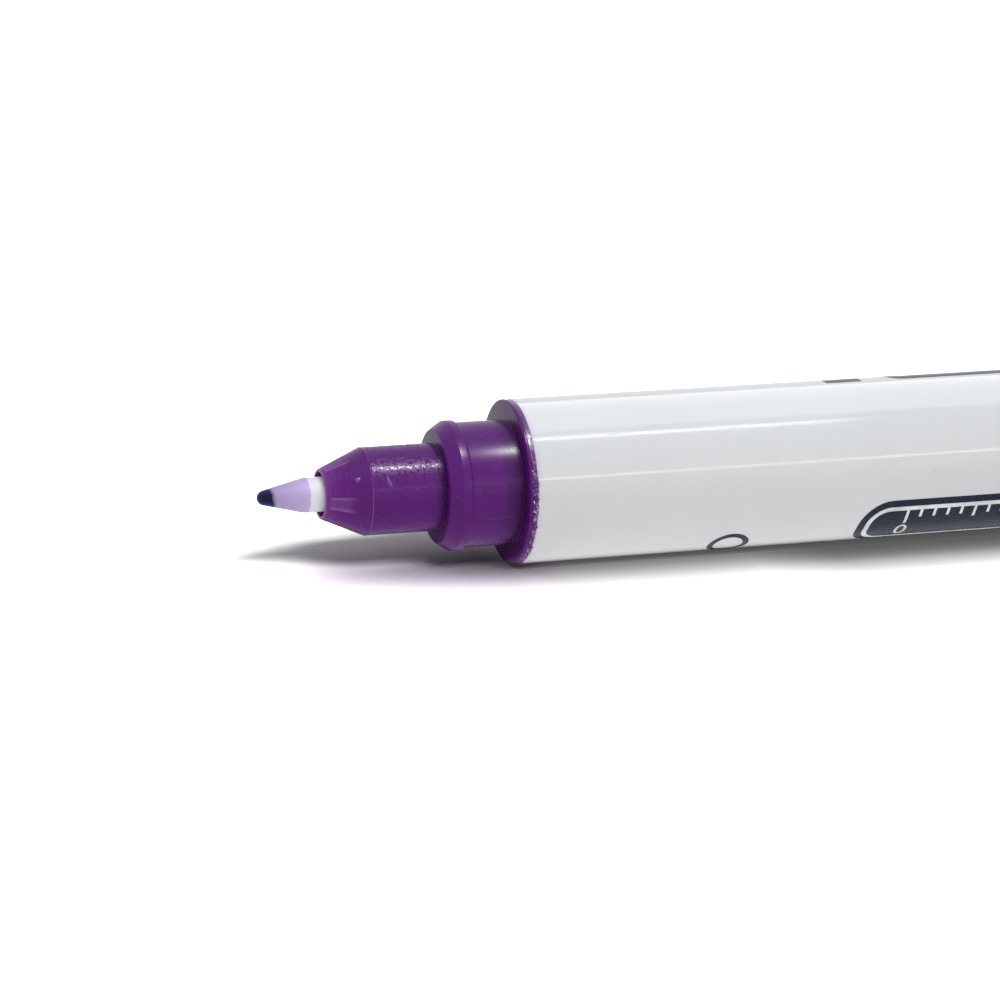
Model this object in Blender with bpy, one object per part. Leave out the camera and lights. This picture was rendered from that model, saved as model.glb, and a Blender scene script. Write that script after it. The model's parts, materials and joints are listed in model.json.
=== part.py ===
"""Twin-tip surgical skin marker lying on a table: fine tip bare, broad tip capped, fine cap posted behind it."""

import math
from collections import namedtuple

import bmesh
import bpy
from mathutils import Matrix, Vector

# Sizes are in metres. The marker lies along X with its fine tip at the -X end and the table at Z = 0.

# Flats round every turned piece: the marker rests on the lowest one
SEGMENTS = 32
ROUND_STEPS = 3

# Barrel
BARREL_DIAMETER = 0.0110
BARREL_WALL = 0.0010
BARREL_LENGTH = 0.0900

# Tip holders, alike at both ends: flange, collar with a snap bead, nose, cone, skirt inside the barrel
FLANGE_THICKNESS = 0.0005
COLLAR_LENGTH = 0.00495
BEAD_HEIGHT = 0.00017
BEAD_WIDTH = 0.00054
BEAD_RAMP = 0.00010
LEAD_LENGTH = 0.00083
LEAD_DROP = 0.00054
NOSE_LENGTH = 0.00495
NOSE_ROUND = 0.00030
MOUTH_LIP = 0.00017
MOUTH_DEPTH = 0.0012
SKIRT_LENGTH = 0.0070
SKIRT_LEAD = 0.0003
HOLDER_WALL = 0.0009
SLEEVE_WALL = 0.0007
SLEEVE_SETBACK = 0.0005
VENT_COUNT = 4
VENT_WIDTH = 0.0005
VENT_DEPTH = 0.0002

# Fine nib: straight rod, ground cone, rounded point
FINE_NIB_DIAMETER = 0.0023
FINE_CONE_LENGTH = 0.00288
FINE_SHOULDER_OUT = 0.00109
FINE_POINT_LENGTH = 0.00313
FINE_POINT_RADIUS = 0.00044

# Broad nib: thicker rod with a domed point
BROAD_NOSE_WALL = 0.0009
BROAD_CONE_LENGTH = 0.0018
BROAD_SHOULDER_OUT = 0.0015
BROAD_POINT_LENGTH = 0.0030
BROAD_POINT_STEPS = 6

# Both nibs at the reservoir end
NIB_FEED = 0.0060
NIB_END_CHAMFER = 0.0003

# Ink reservoir
FILM_WALL = 0.00015

# Caps: shell with a stepped tail, inner sealing liner
CAP_WALL = 0.0011
CAP_STEP_WALL = 0.0015
CAP_END_WALL = 0.0010
CAP_MOUTH_ROUND = 0.00015
CAP_SHOULDER_ROUND = 0.00050
LINER_WALL = 0.00138
LINER_END_WALL = 0.0008
LINER_LEAD = 0.0004
TIP_ROOM = 0.0012

# Clearances
CAP_CLEARANCE = 0.00007
CAP_SEAT_GAP = 0.0001
LINER_FIT = 0.00005
LINER_MOUTH_GAP = 0.0003
SEAL_CLEARANCE = 0.00006
NIB_FIT = 0.00005
MOUTH_GAP = 0.00033
SKIRT_FIT = 0.00005
WELD_GAP = 0.00002
RESERVOIR_AIR_GAP = 0.0003
RESERVOIR_END_GAP = 0.0003
FILM_FIT = 0.00005
SOCKET_END_GAP = 0.0003
CUT_OVERSHOOT = 0.0001

# Radii, from the outside in
BARREL_RADIUS = BARREL_DIAMETER / 2
CAP_BORE_RADIUS = BARREL_RADIUS - CAP_WALL
BEAD_RADIUS = CAP_BORE_RADIUS - CAP_CLEARANCE
COLLAR_RADIUS = BEAD_RADIUS - BEAD_HEIGHT
LEAD_RADIUS = BEAD_RADIUS - LEAD_DROP
TAIL_BORE_RADIUS = COLLAR_RADIUS - CAP_WALL
LINER_RADIUS = CAP_BORE_RADIUS - LINER_FIT
LINER_BORE_RADIUS = LINER_RADIUS - LINER_WALL
NOSE_RADIUS = LINER_BORE_RADIUS - SEAL_CLEARANCE
BARREL_BORE_RADIUS = BARREL_RADIUS - BARREL_WALL
SKIRT_RADIUS = BARREL_BORE_RADIUS - SKIRT_FIT
HOLDER_BORE_RADIUS = min(SKIRT_RADIUS, COLLAR_RADIUS) - HOLDER_WALL
FILM_RADIUS = BARREL_BORE_RADIUS - RESERVOIR_AIR_GAP
CORE_RADIUS = FILM_RADIUS - FILM_WALL - FILM_FIT
FINE_NIB_RADIUS = FINE_NIB_DIAMETER / 2
BROAD_NIB_RADIUS = NOSE_RADIUS - BROAD_NOSE_WALL - NIB_FIT

# A writing end: its frame has X = 0 on the flange face where the cap seats, with the tip towards -X
Tip = namedtuple("Tip", "nib_radius cone_length shoulder_out point_length")
FINE = Tip(FINE_NIB_RADIUS, FINE_CONE_LENGTH, FINE_SHOULDER_OUT, FINE_POINT_LENGTH)
BROAD = Tip(BROAD_NIB_RADIUS, BROAD_CONE_LENGTH, BROAD_SHOULDER_OUT, BROAD_POINT_LENGTH)
NOSE_END_X = -(COLLAR_LENGTH + NOSE_LENGTH)
SKIRT_END_X = FLANGE_THICKNESS + SKIRT_LENGTH
NIB_END_X = SKIRT_END_X + RESERVOIR_END_GAP + NIB_FEED


def mouth_x(tip):
    """Where the nose cone ends and the nib comes out."""
    return NOSE_END_X - tip.cone_length


def shoulder_x(tip):
    """Where the nib's straight rod ends and its point begins."""
    return mouth_x(tip) - tip.shoulder_out


def point_x(tip):
    """The writing point itself."""
    return shoulder_x(tip) - tip.point_length


# A cap: its frame has X = 0 at the mouth, with the closed end towards +X
LINER_MOUTH_X = COLLAR_LENGTH + LINER_MOUTH_GAP
LINER_FLOOR_X = TIP_ROOM - min(point_x(FINE), point_x(BROAD))
LINER_END_X = LINER_FLOOR_X + LINER_END_WALL
CAP_BORE_END_X = LINER_END_X + LINER_FIT
CAP_BODY_LENGTH = CAP_BORE_END_X + CAP_STEP_WALL
CAP_LENGTH = CAP_BODY_LENGTH + COLLAR_LENGTH

# The whole marker, centred over the origin
FLANGE_STEP = FLANGE_THICKNESS + WELD_GAP
BARREL_ENDS = BARREL_LENGTH + 2 * FLANGE_STEP
OVERALL_LENGTH = -point_x(FINE) + BARREL_ENDS + 2 * CAP_SEAT_GAP + CAP_BODY_LENGTH + CAP_LENGTH
AXIS_HEIGHT = BARREL_RADIUS * math.cos(math.pi / SEGMENTS)
FINE_SEAT_X = -OVERALL_LENGTH / 2 - point_x(FINE)
BROAD_SEAT_X = FINE_SEAT_X + BARREL_ENDS

PURPLE = (0.105, 0.022, 0.165)
WHITE = (0.80, 0.80, 0.81)


def clear_scene():
    for found in list(bpy.data.objects):
        bpy.data.objects.remove(found, do_unlink=True)


def add_empty(name, parent, x, turn=0.0):
    """A frame on the marker's axis, x along its parent's axis and turned about the vertical."""
    empty = bpy.data.objects.new(name, None)
    empty.empty_display_size = BARREL_DIAMETER
    empty.parent = parent
    empty.location.x = x
    empty.rotation_euler.z = turn
    bpy.context.scene.collection.objects.link(empty)
    return empty


def add_material(name, colour, roughness):
    material = bpy.data.materials.new(name)
    material.use_nodes = True
    shader = material.node_tree.nodes["Principled BSDF"]
    shader.inputs["Base Color"].default_value = (*colour, 1.0)
    shader.inputs["Roughness"].default_value = roughness
    shader.inputs["Metallic"].default_value = 0.0
    material.diffuse_color = (*colour, 1.0)
    return material


def barrel_white():
    return add_material("barrel_white", WHITE, 0.20)


def holder_purple():
    return add_material("holder_purple", PURPLE, 0.35)


def cap_purple():
    return add_material("cap_purple", PURPLE, 0.25)


def liner_natural():
    return add_material("liner_natural", (0.72, 0.72, 0.70), 0.45)


def nib_white():
    return add_material("nib_white", (0.72, 0.70, 0.80), 0.50)


def nib_felt():
    return add_material("nib_felt", (0.07, 0.04, 0.20), 0.90)


def reservoir_fibre():
    return add_material("reservoir_fibre", (0.10, 0.06, 0.25), 0.95)


def reservoir_wrap():
    return add_material("reservoir_wrap", (0.75, 0.75, 0.78), 0.30)


def rounded(before, corner, after, radius):
    """The arc that rounds off one corner of an outline."""
    corner = Vector(corner)
    back = (Vector(before) - corner).normalized()
    ahead = (Vector(after) - corner).normalized()
    half = back.angle(ahead) / 2
    centre = corner + (back + ahead).normalized() * (radius / math.sin(half))
    start = corner + back * (radius / math.tan(half)) - centre
    end = corner + ahead * (radius / math.tan(half)) - centre
    turns = [start.slerp(end, step / ROUND_STEPS) for step in range(ROUND_STEPS + 1)]
    return [tuple(centre + turn.normalized() * radius) for turn in turns]


def add_turned(name, outline, material, parent):
    """A solid turned about X from (x, radius) points: a ring, or a solid if both its ends lie on the axis."""
    mesh_edit = bmesh.new()
    half_flat = Matrix.Rotation(math.pi / SEGMENTS, 3, "X")
    points = [mesh_edit.verts.new(half_flat @ Vector((x, 0.0, -radius))) for x, radius in outline]
    for first, second in zip(points, points[1:]):
        mesh_edit.edges.new((first, second))
    if outline[0][1] > 0:
        mesh_edit.edges.new((points[-1], points[0]))
    bmesh.ops.spin(
        mesh_edit,
        geom=mesh_edit.verts[:] + mesh_edit.edges[:],
        axis=(1, 0, 0),
        cent=(0, 0, 0),
        angle=2 * math.pi,
        steps=SEGMENTS,
        use_merge=True,
    )
    bmesh.ops.remove_doubles(mesh_edit, verts=mesh_edit.verts[:], dist=1e-7)
    bmesh.ops.recalc_face_normals(mesh_edit, faces=mesh_edit.faces[:])
    mesh = bpy.data.meshes.new(name)
    mesh_edit.to_mesh(mesh)
    mesh_edit.free()
    mesh.materials.append(material)
    mesh.shade_smooth()
    mesh.set_sharp_from_angle(angle=math.radians(25))
    piece = bpy.data.objects.new(name, mesh)
    piece.parent = parent
    bpy.context.scene.collection.objects.link(piece)
    return piece


def collar_side(root_x, end_x):
    """Outline of a snap collar from its root to its leading edge, for a holder or for a cap's tail."""
    way = math.copysign(1.0, end_x - root_x)
    bead_front = end_x - way * LEAD_LENGTH
    bead_back = bead_front - way * BEAD_WIDTH
    return [
        (root_x, COLLAR_RADIUS),
        (bead_back - way * BEAD_RAMP, COLLAR_RADIUS),
        (bead_back, BEAD_RADIUS),
        (bead_front, BEAD_RADIUS),
        (end_x, LEAD_RADIUS),
    ]


def add_barrel(parent):
    """Plain tube between the two flanges."""
    start = FINE_SEAT_X + FLANGE_STEP
    end = start + BARREL_LENGTH
    outline = [
        (start, BARREL_BORE_RADIUS),
        (start, BARREL_RADIUS),
        (end, BARREL_RADIUS),
        (end, BARREL_BORE_RADIUS),
    ]
    return add_turned("barrel", outline, barrel_white(), parent)


def holder_outside(tip):
    """Holder outline from the mouth's lip back over nose, collar and flange to the end of the skirt."""
    lip_radius = tip.nib_radius + MOUTH_GAP + MOUTH_LIP
    mouth = (mouth_x(tip), lip_radius)
    nose_front = (NOSE_END_X, NOSE_RADIUS)
    nose_back = (-COLLAR_LENGTH, NOSE_RADIUS)
    return [
        mouth,
        *rounded(mouth, nose_front, nose_back, NOSE_ROUND),
        nose_back,
        *reversed(collar_side(0.0, -COLLAR_LENGTH)),
        (0.0, BARREL_RADIUS),
        (FLANGE_THICKNESS, BARREL_RADIUS),
        (FLANGE_THICKNESS, SKIRT_RADIUS),
        (SKIRT_END_X - SKIRT_LEAD, SKIRT_RADIUS),
        (SKIRT_END_X, SKIRT_RADIUS - SKIRT_LEAD),
    ]


def holder_inside(tip):
    """Holder outline from the skirt's end forward through its hollow, nib sleeve and bore to the mouth."""
    bore = tip.nib_radius + NIB_FIT
    sleeve = bore + SLEEVE_WALL
    sleeve_end = SKIRT_END_X - SLEEVE_SETBACK
    hollow_end = HOLDER_WALL - COLLAR_LENGTH
    floor = mouth_x(tip) + MOUTH_DEPTH
    return [
        (SKIRT_END_X, HOLDER_BORE_RADIUS),
        (hollow_end, HOLDER_BORE_RADIUS),
        (hollow_end, sleeve),
        (sleeve_end, sleeve),
        (sleeve_end, bore),
        (floor, bore),
        (floor, tip.nib_radius + MOUTH_GAP),
        (mouth_x(tip), tip.nib_radius + MOUTH_GAP),
    ]


def add_vent_cutter(name, tip, parent):
    """Bars round the nib bore that cut its air channels."""
    bore = tip.nib_radius + NIB_FIT
    start = mouth_x(tip) + MOUTH_DEPTH - CUT_OVERSHOOT
    end = SKIRT_END_X - SLEEVE_SETBACK + CUT_OVERSHOOT
    height = tip.nib_radius / 2 + NIB_FIT + VENT_DEPTH
    size = Matrix.Diagonal((end - start, VENT_WIDTH, height, 1.0))
    place = Matrix.Translation(((start + end) / 2, 0.0, bore + VENT_DEPTH - height / 2))
    mesh_edit = bmesh.new()
    for index in range(VENT_COUNT):
        turn = Matrix.Rotation(2 * math.pi * index / VENT_COUNT, 4, "X")
        bmesh.ops.create_cube(mesh_edit, size=1.0, matrix=turn @ place @ size)
    mesh = bpy.data.meshes.new(name)
    mesh_edit.to_mesh(mesh)
    mesh_edit.free()
    cutter = bpy.data.objects.new(name, mesh)
    cutter.parent = parent
    cutter.hide_render = True
    cutter.display_type = "WIRE"
    bpy.context.scene.collection.objects.link(cutter)
    return cutter


def add_holder(name, tip, material, parent):
    """Moulded plug with its collar, nose and vented nib bore."""
    holder = add_turned(name, holder_outside(tip) + holder_inside(tip), material, parent)
    vents = holder.modifiers.new("vents", "BOOLEAN")
    vents.operation = "DIFFERENCE"
    vents.solver = "EXACT"
    vents.object = add_vent_cutter(name + "_vents", tip, parent)
    return holder


def nib_back(tip):
    """Nib outline from its shoulder back along the rod to the end in the reservoir."""
    return [
        (shoulder_x(tip), tip.nib_radius),
        (NIB_END_X - NIB_END_CHAMFER, tip.nib_radius),
        (NIB_END_X, tip.nib_radius - NIB_END_CHAMFER),
        (NIB_END_X, 0.0),
    ]


def add_fine_nib(parent):
    """Rod with a cone that runs smoothly into a small round point."""
    centre_x = point_x(FINE) + FINE_POINT_RADIUS
    run = shoulder_x(FINE) - centre_x
    slant = math.acos(FINE_POINT_RADIUS / math.hypot(run, FINE_NIB_RADIUS)) - math.atan2(run, FINE_NIB_RADIUS)
    sweep = math.pi / 2 - slant
    point = []
    for step in range(ROUND_STEPS + 1):
        angle = sweep * step / ROUND_STEPS
        x = centre_x - FINE_POINT_RADIUS * math.cos(angle)
        point.append((x, FINE_POINT_RADIUS * math.sin(angle)))
    return add_turned("fine_nib", point + nib_back(FINE), nib_white(), parent)


def add_broad_nib(parent):
    """Rod with an elliptical dome."""
    dome = []
    for step in range(BROAD_POINT_STEPS):
        angle = math.pi / 2 * step / BROAD_POINT_STEPS
        x = shoulder_x(BROAD) - BROAD_POINT_LENGTH * math.cos(angle)
        dome.append((x, BROAD_NIB_RADIUS * math.sin(angle)))
    return add_turned("broad_nib", dome + nib_back(BROAD), nib_felt(), parent)


def reservoir_span():
    """Where the reservoir starts and ends along X, between the two skirts."""
    inset = SKIRT_END_X + RESERVOIR_END_GAP
    return FINE_SEAT_X + inset, BROAD_SEAT_X - inset


def add_reservoir(parent):
    """Fibre core with a socket at each end for the nib that drinks from it."""
    start, end = reservoir_span()
    socket = NIB_FEED + SOCKET_END_GAP
    fine_socket = FINE_NIB_RADIUS + NIB_FIT
    broad_socket = BROAD_NIB_RADIUS + NIB_FIT
    outline = [
        (start + socket, 0.0),
        (start + socket, fine_socket),
        (start, fine_socket),
        (start, CORE_RADIUS),
        (end, CORE_RADIUS),
        (end, broad_socket),
        (end - socket, broad_socket),
        (end - socket, 0.0),
    ]
    return add_turned("ink_reservoir", outline, reservoir_fibre(), parent)


def add_film(parent):
    """Thin sleeve that holds the fibres together."""
    start, end = reservoir_span()
    inside = FILM_RADIUS - FILM_WALL
    outline = [(start, inside), (start, FILM_RADIUS), (end, FILM_RADIUS), (end, inside)]
    return add_turned("reservoir_film", outline, reservoir_wrap(), parent)


def add_cap_shell(name, material, parent):
    """Flush shell whose tail repeats the holder's collar, so that the other cap can be posted on it."""
    mouth_inner = (0.0, CAP_BORE_RADIUS)
    mouth_outer = (0.0, BARREL_RADIUS)
    shoulder_outer = (CAP_BODY_LENGTH, BARREL_RADIUS)
    shoulder_inner = (CAP_BODY_LENGTH, COLLAR_RADIUS)
    floor_x = CAP_LENGTH - CAP_END_WALL
    outline = [
        (floor_x, 0.0),
        (floor_x, TAIL_BORE_RADIUS),
        (CAP_BORE_END_X, TAIL_BORE_RADIUS),
        (CAP_BORE_END_X, CAP_BORE_RADIUS),
        mouth_inner,
        *rounded(mouth_inner, mouth_outer, shoulder_outer, CAP_MOUTH_ROUND),
        *rounded(mouth_outer, shoulder_outer, shoulder_inner, CAP_SHOULDER_ROUND),
        *collar_side(CAP_BODY_LENGTH, CAP_LENGTH),
        (CAP_LENGTH, 0.0),
    ]
    return add_turned(name, outline, material, parent)


def add_cap_liner(name, material, parent):
    """Cup pressed into the shell that closes round the nose."""
    outline = [
        (LINER_FLOOR_X, 0.0),
        (LINER_FLOOR_X, LINER_BORE_RADIUS),
        (LINER_MOUTH_X + LINER_LEAD, LINER_BORE_RADIUS),
        (LINER_MOUTH_X, LINER_BORE_RADIUS + LINER_LEAD),
        (LINER_MOUTH_X, LINER_RADIUS),
        (LINER_END_X, LINER_RADIUS),
        (LINER_END_X, 0.0),
    ]
    return add_turned(name, outline, material, parent)


def add_caps(axis):
    """The broad cap on its seat, and the fine cap on the broad cap's tail: each pulls off along X."""
    shell_material = cap_purple()
    liner_material = liner_natural()
    broad_cap = add_empty("broad_cap_frame", axis, BROAD_SEAT_X + CAP_SEAT_GAP)
    fine_cap = add_empty("fine_cap_frame", broad_cap, CAP_BODY_LENGTH + CAP_SEAT_GAP)
    for name, frame in (("broad_cap", broad_cap), ("fine_cap", fine_cap)):
        add_cap_shell(name + "_shell", shell_material, frame)
        add_cap_liner(name + "_liner", liner_material, frame)


def main():
    clear_scene()
    axis = add_empty("marker_axis", None, 0.0)
    axis.location.z = AXIS_HEIGHT
    fine_end = add_empty("fine_end_frame", axis, FINE_SEAT_X)
    broad_end = add_empty("broad_end_frame", axis, BROAD_SEAT_X, math.pi)
    add_barrel(axis)
    add_reservoir(axis)
    add_film(axis)
    holder_material = holder_purple()
    add_holder("fine_tip_holder", FINE, holder_material, fine_end)
    add_holder("broad_tip_holder", BROAD, holder_material, broad_end)
    add_fine_nib(fine_end)
    add_broad_nib(broad_end)
    add_caps(axis)


main()
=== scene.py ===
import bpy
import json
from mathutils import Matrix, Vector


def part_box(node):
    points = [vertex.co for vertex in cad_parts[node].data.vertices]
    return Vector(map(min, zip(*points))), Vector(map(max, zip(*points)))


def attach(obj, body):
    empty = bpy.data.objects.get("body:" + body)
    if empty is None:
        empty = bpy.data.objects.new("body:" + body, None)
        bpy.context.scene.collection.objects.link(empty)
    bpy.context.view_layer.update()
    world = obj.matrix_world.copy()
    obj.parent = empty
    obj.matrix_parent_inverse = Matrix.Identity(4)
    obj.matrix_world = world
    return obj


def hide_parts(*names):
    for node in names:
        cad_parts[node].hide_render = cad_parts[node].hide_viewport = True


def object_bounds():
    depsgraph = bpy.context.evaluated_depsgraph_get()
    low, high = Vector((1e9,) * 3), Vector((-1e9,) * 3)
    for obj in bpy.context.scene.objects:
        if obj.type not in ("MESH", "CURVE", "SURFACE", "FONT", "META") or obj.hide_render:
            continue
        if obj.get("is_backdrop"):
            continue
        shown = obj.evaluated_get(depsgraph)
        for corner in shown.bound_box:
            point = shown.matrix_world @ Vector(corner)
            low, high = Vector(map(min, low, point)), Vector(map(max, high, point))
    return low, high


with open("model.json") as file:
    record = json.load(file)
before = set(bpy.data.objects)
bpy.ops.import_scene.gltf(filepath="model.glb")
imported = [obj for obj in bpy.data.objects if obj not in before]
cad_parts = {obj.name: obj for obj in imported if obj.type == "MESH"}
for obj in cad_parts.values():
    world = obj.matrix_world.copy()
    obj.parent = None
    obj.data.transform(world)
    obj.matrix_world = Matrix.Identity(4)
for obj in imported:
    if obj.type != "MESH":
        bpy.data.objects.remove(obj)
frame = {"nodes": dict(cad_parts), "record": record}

import inspect
import json
import math

import bmesh
import bpy
from bpy.props import FloatProperty, FloatVectorProperty, IntProperty, PointerProperty
from bpy.types import NodeSocket, Operator, Panel, PropertyGroup
from mathutils import Matrix, Vector, noise

bl_info = {
    "name": "Twin-Tip Skin Marker",
    "version": (1, 0, 0),
    "blender": (4, 5, 0),
    "location": "3D View > Sidebar > Skin Marker",
    "description": "Builds the looks of a twin-tip skin marker and the studio that it lies in",
    "category": "Object",
}

CAD_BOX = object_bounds()


def on_axis(x):
    """The place on the marker's axis at x."""
    return Matrix.Translation((x, 0.0, AXIS_HEIGHT))


# Places that the frame gives. The marker lies along X with its fine tip towards -X.
FLATS = 32
BARREL_LOW, BARREL_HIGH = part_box("barrel")
BARREL_LENGTH = BARREL_HIGH.x - BARREL_LOW.x
BARREL_MIDDLE = (BARREL_HIGH.x + BARREL_LOW.x) / 2
AXIS_HEIGHT = (BARREL_LOW.z + BARREL_HIGH.z) / 2
OUTSIDE_RADIUS = (BARREL_HIGH.z - BARREL_LOW.z) / 2 / math.cos(math.pi / FLATS)
SEAT_MOUNT = next(mount for mount in frame["record"]["mounts"] if mount["name"] == "fine_cap_seat")
FINE_SEAT = Vector(SEAT_MOUNT["pos_m"]).x
BROAD_SEAT = 2 * BARREL_MIDDLE - FINE_SEAT
FINE_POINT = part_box("fine_nib")[0].x
BARREL_PLACE = on_axis(BARREL_LOW.x)
FINE_PLACE = on_axis(FINE_SEAT)
BROAD_PLACE = on_axis(BROAD_SEAT) @ Matrix.Rotation(math.pi, 4, "Z")
CAP_PLACES = {body: on_axis(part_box(body + "_shell")[0].x) for body in ("broad_cap", "fine_cap")}

# Distances along the axis from the barrel's middle, the same towards both ends
SEAT_ALONG = BARREL_MIDDLE - FINE_SEAT
MOUTH_ALONG = BARREL_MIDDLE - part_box("fine_tip_holder")[0].x

# How finely round shapes are cut
TURN_STEPS = 192
HOLDER_STEPS = 256
HOLDER_STRIDE = 0.00012
SECTORS = 16
ROUND_STEPS = 5
CORNER_STEPS = 8
CIRCLE_STEPS = 64
FLASH_STEPS = 640
PRINT_STRIDE = 0.00025
SHARP_ANGLE = math.radians(40)
MERGE_DISTANCE = 1e-7

# The weld's smooth stretch: its middle below the front, half width and fade, and the roughness left in it
SMOOTH_TURN, SMOOTH_HALF, SMOOTH_FADE = (math.radians(turn) for turn in (-70.0, 42.0, 18.0))
SMOOTH_ROUGH = 0.03

# A flute's start, end and fades, as shares of the cone's length, and how strongly highlights are painted pale
# on flutes and on edges
FLUTE_START, FLUTE_END, FLUTE_FADE_IN, FLUTE_FADE_OUT = 0.08, 0.70, 0.05, 0.25
FLUTE_PALE, FLUTE_EDGE_PALE, EDGE_PALE = 0.15, 0.34, 0.55

# Moulding marks on the fine holder: from its seat, turn below the front, half length, half width, rise
MOULD_MARKS = (
    (-0.01080, -30.0, 0.00015, 0.00020, 0.00012),
    (-0.00882, -24.0, 0.00009, 0.00026, 0.00005),
    (-0.00868, -20.0, 0.00008, 0.00024, 0.00005),
)

# Where the floor's painted contact shadow, painted purple tint and glows change: from fine end to middle,
# round the barrel's ends, far off, and behind
TO_MIDDLE = FINE_SEAT + 0.016, FINE_SEAT + 0.022
TO_ENDS = BARREL_LENGTH / 2 - 0.003, BARREL_LENGTH / 2 + 0.0015
TO_FAR = 0.12, 0.45
TO_BACK = 0.010, 0.035

# The stage. A light's turn is its angle from +X about the vertical.
FLOOR_SIZE = 3.0
LIGHT_DISTANCE = 0.50
WINDOW_DISTANCE = 0.80
BROAD_LIGHT_SIZE = 0.60, 0.40
FRONT, BACK = 270.0, 90.0
WHITE = 1.0, 1.0, 1.0
BLACK = 0.0, 0.0, 0.0


def length(description, default):
    """A size in metres."""
    return FloatProperty(description=description, default=default, min=0.0, precision=5, unit="LENGTH")


def angle(description, degrees):
    """A turn, written in degrees and kept in radians."""
    return FloatProperty(description=description, default=math.radians(degrees), subtype="ANGLE")


def colour(description, default):
    """A linear colour."""
    return FloatVectorProperty(
        description=description, default=default, size=3, min=0.0, max=1.0, subtype="COLOR"
    )


def level(description, default):
    """A plain factor, such as a light's strength."""
    return FloatProperty(description=description, default=default, min=0.0)


def count(description, default):
    """A whole number."""
    return IntProperty(description=description, default=default, min=1)


def named(group):
    """Names each property of a group as its attribute is named, in plain words."""
    for attribute, made in group.__annotations__.items():
        made.keywords["name"] = attribute.replace("_", " ").capitalize()
    return group


@named
class BarrelSizes(PropertyGroup):
    """Sizes of the white tube and of the weld at its ends"""

    radius: length("Outside radius of the barrel", OUTSIDE_RADIUS)
    wall: length("Wall of the barrel", 0.0010)
    edge: length("Rounding of the barrel's ends", 0.00010)
    # Reach of the lavender tint on the white beside each weld
    smear: length("How far melted purple tints the white beside a weld", 0.00040)
    flash_start: length("Front of the weld's rough band, behind the flange face", 0.00020)
    flash_end: length("Back of the weld's rough band, behind the flange face", 0.00060)
    flash_height: length("How far the weld's lumps rise and fall", 0.00014)
    groove: length("How deep the rough band lies below the flange's rim", 0.00014)
    flash_lump: length("Size of one lump in the weld", 0.00024)


@named
class HolderSizes(PropertyGroup):
    """Sizes that both tip holders share"""

    flange: length("Thickness of the flange", 0.0005)
    collar: length("Length of the collar", 0.00495)
    collar_radius: length("Radius of the collar", 0.00416)
    bead_radius: length("Radius of the snap bead", 0.00433)
    bead_width: length("Width of the snap bead", 0.00054)
    bead_ramp: length("Length of the ramp behind the bead", 0.00010)
    lead: length("Length of the lead-in chamfer", 0.00083)
    lead_radius: length("Radius where the lead-in chamfer meets the collar's face", 0.00379)
    nose: length("Length of the nose cylinder", 0.00495)
    nose_radius: length("Radius of the nose cylinder", 0.00291)
    lip: length("Width of the mouth's lip", 0.00017)
    mouth_gap: length("Gap between nib and mouth", 0.00033)
    mouth_depth: length("Depth of the mouth's recess", 0.0012)
    skirt: length("Length of the skirt inside the barrel", 0.0070)
    skirt_radius: length("Radius of the skirt", 0.00445)
    chamfer: length("Chamfer at the skirt's end", 0.0003)
    wall: length("Wall of the collar and skirt", 0.0009)
    sleeve_wall: length("Wall of the sleeve round the nib", 0.0007)
    sleeve_set_back: length("How far the sleeve ends before the skirt", 0.0005)
    nib_fit: length("Clearance round the nib", 0.00005)
    vent_width: length("Width of an air channel along the nib", 0.0005)
    vent_depth: length("Depth of an air channel along the nib", 0.0002)
    vents: count("Air channels along the nib", 4)
    flutes: count("Shallow flutes round the cone", 4)
    flute_turn: angle("Where the first flute lies, below the side that faces front", 10.0)
    flute_half: angle("Half of a flute's width, as a turn", 13.0)
    flute_wall: angle("Width of a flute's side wall, as a turn", 4.0)
    flute_edge: angle("Half width of the pale band along a flute's side, as a turn", 4.5)
    flute_depth: length("Depth of a flute", 0.00010)
    ridge: length("Height of the parting ridge between cone and nose", 0.00002)
    ridge_width: length("Width of that ridge", 0.00006)


@named
class NibSizes(PropertyGroup):
    """Sizes of the two nibs"""

    fine_radius: length("Radius of the fine nib's rod", 0.00115)
    fine_cone: length("Length of the holder's cone at the fine end", 0.00288)
    fine_shoulder: length("How far the fine rod stands out of its mouth", 0.00109)
    fine_point: length("Length of the fine nib's ground cone", 0.00313)
    fine_tip: length("Radius over which the fine point is rounded", 0.00039)
    broad_radius: length("Radius of the broad nib's rod", 0.00196)
    broad_cone: length("Length of the holder's cone at the broad end", 0.0018)
    broad_shoulder: length("How far the broad rod stands out of its mouth", 0.0015)
    broad_point: length("Length of the broad nib's dome", 0.0030)
    broad_tip: length("Radius over which the dome's end is rounded", 0.0012)
    feed: length("How far a nib reaches past the skirt into the reservoir", 0.0063)
    chamfer: length("Chamfer at a nib's inner end", 0.0003)
    wet: length("Length of the fine point that is wet with ink", 0.00105)
    stained: length("Length of the fine point that ink has stained", 0.00335)


@named
class CapSizes(PropertyGroup):
    """Sizes that both caps share"""

    body: length("Length of the cap up to its stepped tail", 0.02055)
    bore_radius: length("Radius of the cap's bore", 0.00440)
    bore_end: length("Depth of the cap's bore", 0.01905)
    tail_bore: length("Radius of the hollow in the tail", 0.00306)
    end_wall: length("Thickness of the closed end", 0.0010)
    mouth_edge: length("Rounding of the mouth", 0.00018)
    shoulder_edge: length("Rounding of the step", 0.00050)
    gate_radius: length("Radius of the moulding gate's dimple", 0.00060)
    gate_depth: length("Depth of the moulding gate's dimple", 0.00020)
    liner_mouth: length("Where the liner begins", 0.00525)
    liner_floor: length("Where the liner's floor lies", 0.0182)
    liner_end: length("Where the liner ends", 0.0190)
    liner_radius: length("Outside radius of the liner", 0.00435)
    liner_bore: length("Inside radius of the liner", 0.00297)
    liner_lead: length("Lead-in of the liner's mouth", 0.0004)


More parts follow.
